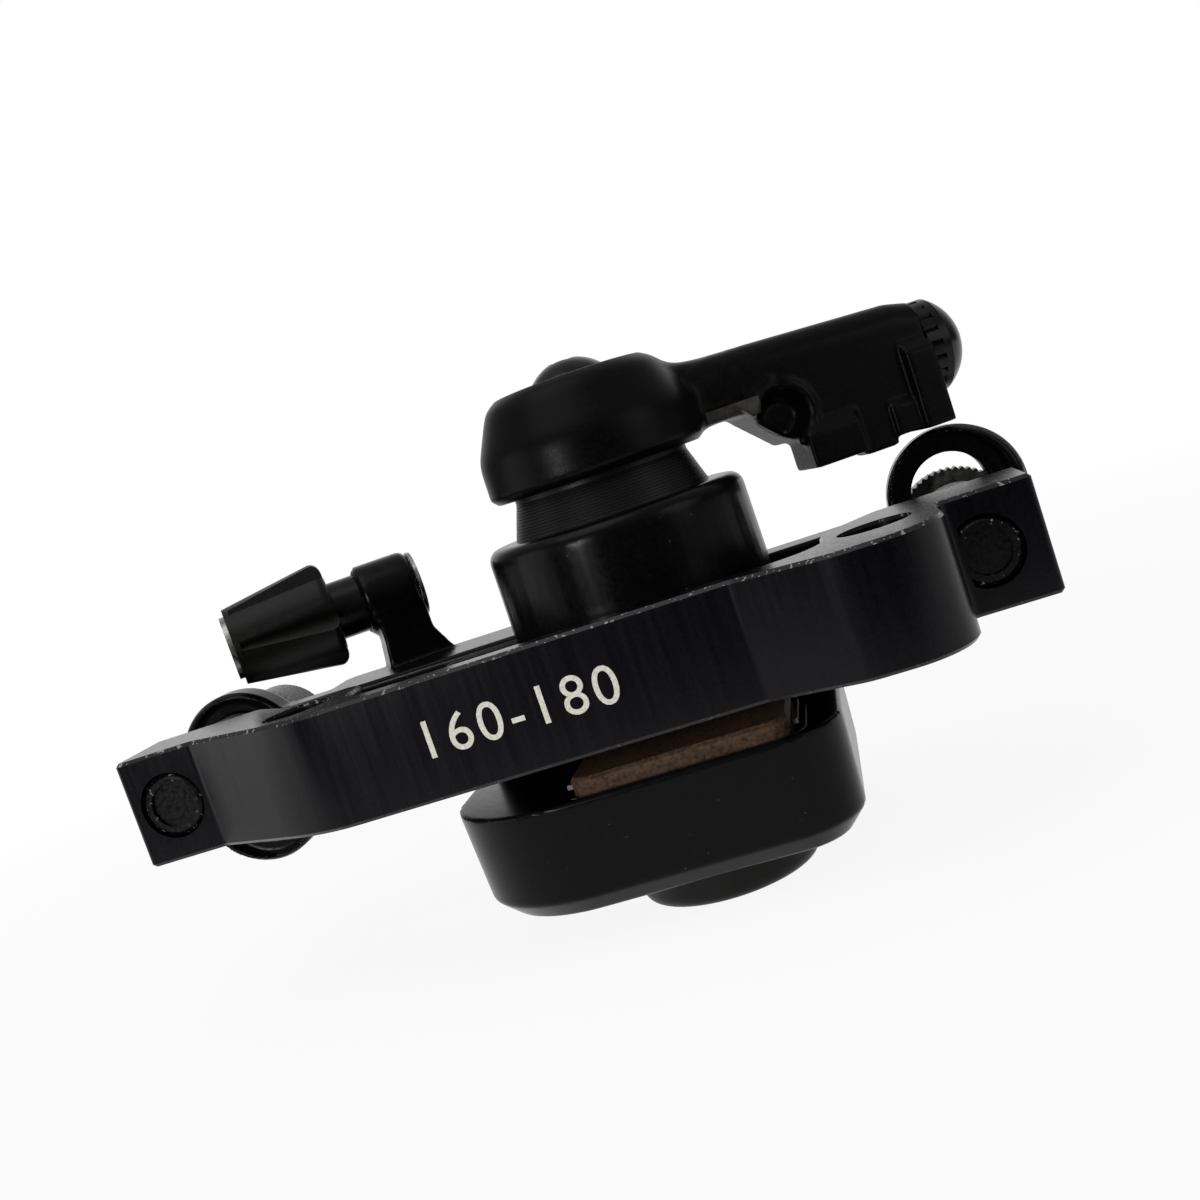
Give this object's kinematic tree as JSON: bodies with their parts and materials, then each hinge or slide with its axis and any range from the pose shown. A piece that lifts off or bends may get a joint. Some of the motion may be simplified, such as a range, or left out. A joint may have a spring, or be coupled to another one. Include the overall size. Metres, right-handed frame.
{
  "type": "bicycle disc brake caliper",
  "caption": "Cable-operated bicycle disc brake caliper on a post-mount adapter bracket, with swinging lever arm, barrel adjuster and round pads.",
  "frame": {"origin": "on the actuator's axis in the rotor's mid-plane", "axes": "+Z along the actuator's axis towards the lever, +X along the line of the mounting bolts, +Y away from the wheel's hub"},
  "size_m": [0.0878, 0.0414, 0.0482],
  "materials": {
    "black_anodised": "satin, fine brushed and anodised black",
    "cast_black": "semi-gloss black coating on a cast surface",
    "turned_black": "turned and anodised black",
    "black_steel": "black oxide, oiled",
    "washer_steel": "zinc plated",
    "bright_steel": "ground bright",
    "bright_aluminium": "bright turned",
    "spring_steel": "bright sheet",
    "pad_steel": "dark plated plate",
    "lining": "sintered, copper brown",
    "bronze": "plain bearing bronze",
    "seal_rubber": "matt",
    "cage_plastic": "moulded natural nylon",
    "black_plastic": "moulded black",
    "barrel_black": "black anodised thread"
  },
  "bodies": {
    "bracket": {"mount_bracket": "black_anodised", "mounting_bolts": "black_steel", "cup_washers": "washer_steel", "cone_washers": "washer_steel", "knurled_washers": "black_steel"},
    "caliper": {"outer_housing": "cast_black", "inner_housing": "cast_black", "body_bolts": "black_steel", "dust_collar": "turned_black", "shaft_bush": "bronze", "shaft_seal": "seal_rubber", "thrust_washer": "washer_steel", "return_spring": "bright_steel", "pad_spring": "spring_steel", "stop_ring": "bright_aluminium"},
    "lever": {"lever_arm": "cast_black", "actuator_shaft": "bright_steel", "lever_bolt": "black_steel", "anchor_bolt": "black_steel", "anchor_washer": "black_steel"},
    "balls": {"ramp_balls": "bright_steel", "ball_cage": "cage_plastic"},
    "piston": {"outer_piston": "bright_steel", "ramp_plate": "bright_steel", "outer_pad_plate": "pad_steel", "outer_pad_lining": "lining"},
    "dial": {"inner_adjuster_knob": "black_plastic", "dial_friction_ring": "seal_rubber"},
    "inner_pad": {"inner_pad_plate": "pad_steel", "inner_pad_lining": "lining"},
    "inner_screw": {"inner_adjuster_screw": "bright_steel"},
    "adjuster_slide": {"cable_ferrule": "bright_aluminium"},
    "adjuster_turning": {"adjuster_knob": "black_plastic", "adjuster_barrel": "barrel_black"}
  },
  "joints": [
    {"name": "caliper_align", "type": "slide", "parent": "bracket", "child": "caliper", "axis": [0, 0, 1], "range_m": [-0.001, 0.002]},
    {"name": "lever_swing", "type": "hinge", "parent": "caliper", "child": "lever", "pos_m": [0, 0, 0], "axis": [0, 0, 1], "range_deg": [0, 40], "stiffness_Nm_per_rad": 0.3, "springref_deg": -22.92},
    {"name": "ball_turn", "type": "hinge", "parent": "caliper", "child": "balls", "pos_m": [0, 0, 0], "axis": [0, 0, 1], "range_deg": [0, 20]},
    {"name": "piston_travel", "type": "slide", "parent": "caliper", "child": "piston", "axis": [0, 0, -1], "range_m": [0, 0.0015]},
    {"name": "dial_turn", "type": "hinge", "parent": "caliper", "child": "dial", "pos_m": [0, 0, 0], "axis": [0, 0, 1], "range_deg": [0, 360]},
    {"name": "inner_pad_travel", "type": "slide", "parent": "caliper", "child": "inner_pad", "axis": [0, 0, 1], "range_m": [0, 0.0008]},
    {"name": "inner_screw_turn", "type": "hinge", "parent": "inner_pad", "child": "inner_screw", "pos_m": [0, 0, 0], "axis": [0, 0, 1], "range_deg": [0, 360]},
    {"name": "adjuster_travel", "type": "slide", "parent": "caliper", "child": "adjuster_slide", "axis": [-0.9063, -0.4226, 0], "range_m": [0, 0.003]},
    {"name": "adjuster_turn", "type": "hinge", "parent": "adjuster_slide", "child": "adjuster_turning", "pos_m": [-0.0381, 0.012, 0.0176], "axis": [-0.9063, -0.4226, 0], "range_deg": [0, 1080]}
  ],
  "couplings": [
    {"joint": "ball_turn", "follows": "lever_swing", "ratio": 0.5},
    {"joint": "piston_travel", "follows": "lever_swing", "m_per_rad": 0.002148},
    {"joint": "dial_turn", "follows": "inner_pad_travel", "rad_per_m": 7853.9},
    {"joint": "inner_screw_turn", "follows": "inner_pad_travel", "rad_per_m": 7853.9},
    {"joint": "adjuster_turn", "follows": "adjuster_travel", "rad_per_m": 6283.1}
  ]
}
